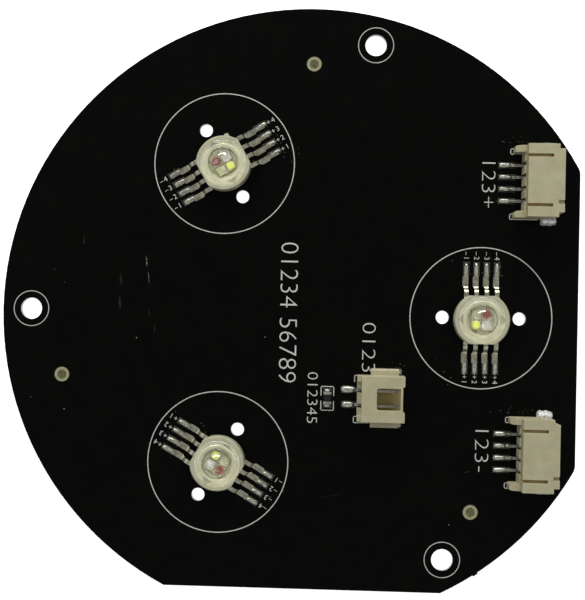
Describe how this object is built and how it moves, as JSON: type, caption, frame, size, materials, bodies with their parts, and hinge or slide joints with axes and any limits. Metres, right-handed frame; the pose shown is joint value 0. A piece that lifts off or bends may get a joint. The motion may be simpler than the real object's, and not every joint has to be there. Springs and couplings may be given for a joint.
{
  "type": "led circuit board",
  "caption": "Round aluminium-core circuit board with two straight edges, carrying domed multi-colour power LEDs, side-entry wire headers and a chip thermistor.",
  "frame": {"origin": "centre of the board's round edge, on the back face", "axes": "+X towards the straight edge with the headers, +Y along that edge, away from the long straight edge, +Z out of the component side"},
  "size_m": [0.0966, 0.0975, 0.0065],
  "materials": {
    "aluminium_base": "rolled and lightly brushed",
    "insulator": "filled resin",
    "tinned_copper": "tinned",
    "black_mask": "semi-gloss",
    "white_ink": "printed ink",
    "led_body": "translucent moulding",
    "clear_lens": "clear",
    "copper_slug": "plated",
    "die_red": "polished crystal",
    "die_green": "polished crystal",
    "die_blue": "polished crystal",
    "die_white": "polished crystal",
    "phosphor": "powder in resin",
    "gold_wire": "drawn",
    "lead_tin": "tin plated, dull",
    "solder": "bright solder",
    "header_housing": "moulded",
    "contact_tin": "tin plated",
    "chip_black": "ceramic"
  },
  "bodies": {
    "root": {"base_plate": "aluminium_base", "insulator": "insulator", "copper": "tinned_copper", "solder_mask": "black_mask", "silkscreen": "white_ink", "led_1_body": "led_body", "led_1_lens": "clear_lens", "led_1_slug": "copper_slug", "led_1_die_red": "die_red", "led_1_die_green": "die_green", "led_1_die_blue": "die_blue", "led_1_die_white": "die_white", "led_1_phosphor": "phosphor", "led_1_wires": "gold_wire", "led_1_leads_plus": "lead_tin", "led_1_leads_minus": "lead_tin", "led_1_solder": "solder", "led_2_body": "led_body", "led_2_lens": "clear_lens", "led_2_slug": "copper_slug", "led_2_die_red": "die_red", "led_2_die_green": "die_green", "led_2_die_blue": "die_blue", "led_2_die_white": "die_white", "led_2_phosphor": "phosphor", "led_2_wires": "gold_wire", "led_2_leads_plus": "lead_tin", "led_2_leads_minus": "lead_tin", "led_2_solder": "solder", "led_3_body": "led_body", "led_3_lens": "clear_lens", "led_3_slug": "copper_slug", "led_3_die_red": "die_red", "led_3_die_green": "die_green", "led_3_die_blue": "die_blue", "led_3_die_white": "die_white", "led_3_phosphor": "phosphor", "led_3_wires": "gold_wire", "led_3_leads_plus": "lead_tin", "led_3_leads_minus": "lead_tin", "led_3_solder": "solder", "plus_header_housing": "header_housing", "plus_header_contacts": "contact_tin", "plus_header_tabs": "contact_tin", "plus_header_solder": "solder", "minus_header_housing": "header_housing", "minus_header_contacts": "contact_tin", "minus_header_tabs": "contact_tin", "minus_header_solder": "solder", "sensor_header_housing": "header_housing", "sensor_header_contacts": "contact_tin", "sensor_header_tabs": "contact_tin", "sensor_header_solder": "solder", "thermistor_body": "chip_black", "thermistor_caps": "contact_tin", "thermistor_solder": "solder"}
  },
  "joints": []
}
